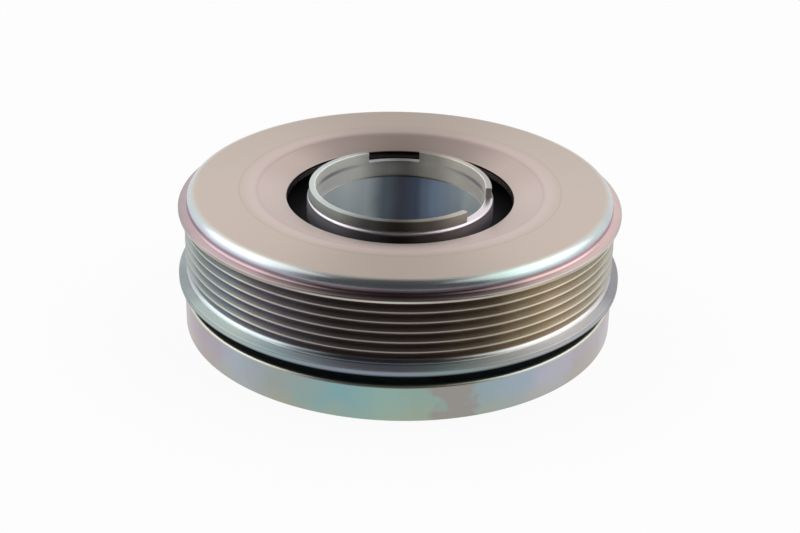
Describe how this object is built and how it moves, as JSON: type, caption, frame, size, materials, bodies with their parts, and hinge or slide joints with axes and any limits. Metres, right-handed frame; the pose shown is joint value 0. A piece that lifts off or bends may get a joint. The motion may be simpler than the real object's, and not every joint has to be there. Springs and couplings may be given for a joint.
{
  "type": "harmonic balancer",
  "caption": "Round grooved crankshaft pulley on a damper ring, rubber-bonded to a bolt-on hub whose hollow notched neck rises through the dished disc.",
  "frame": {"origin": "centre of the inertia ring's bottom face, on which the part stands", "axes": "+Z along the crankshaft axis towards the neck's notched lip; +Y away from the viewer, towards the rear notch"},
  "size_m": [0.157, 0.157, 0.0502],
  "materials": {
    "zinc_plated_pulley": "satin iridescent zinc plating",
    "zinc_plated_hub": "turned, silvery zinc plating",
    "zinc_plated_ring": "satin iridescent zinc plating",
    "black_rubber": "matte",
    "bearing_polymer": "matte",
    "sleeve_steel": "phosphated"
  },
  "bodies": {
    "root": {"belt_pulley": "zinc_plated_pulley", "hub": "zinc_plated_hub", "inertia_ring": "zinc_plated_ring", "damper_rubber": "black_rubber", "plain_bearing": "bearing_polymer", "isolator_outer_sleeve": "sleeve_steel", "isolator_inner_sleeve": "sleeve_steel", "isolator_rubber": "black_rubber"}
  },
  "joints": []
}
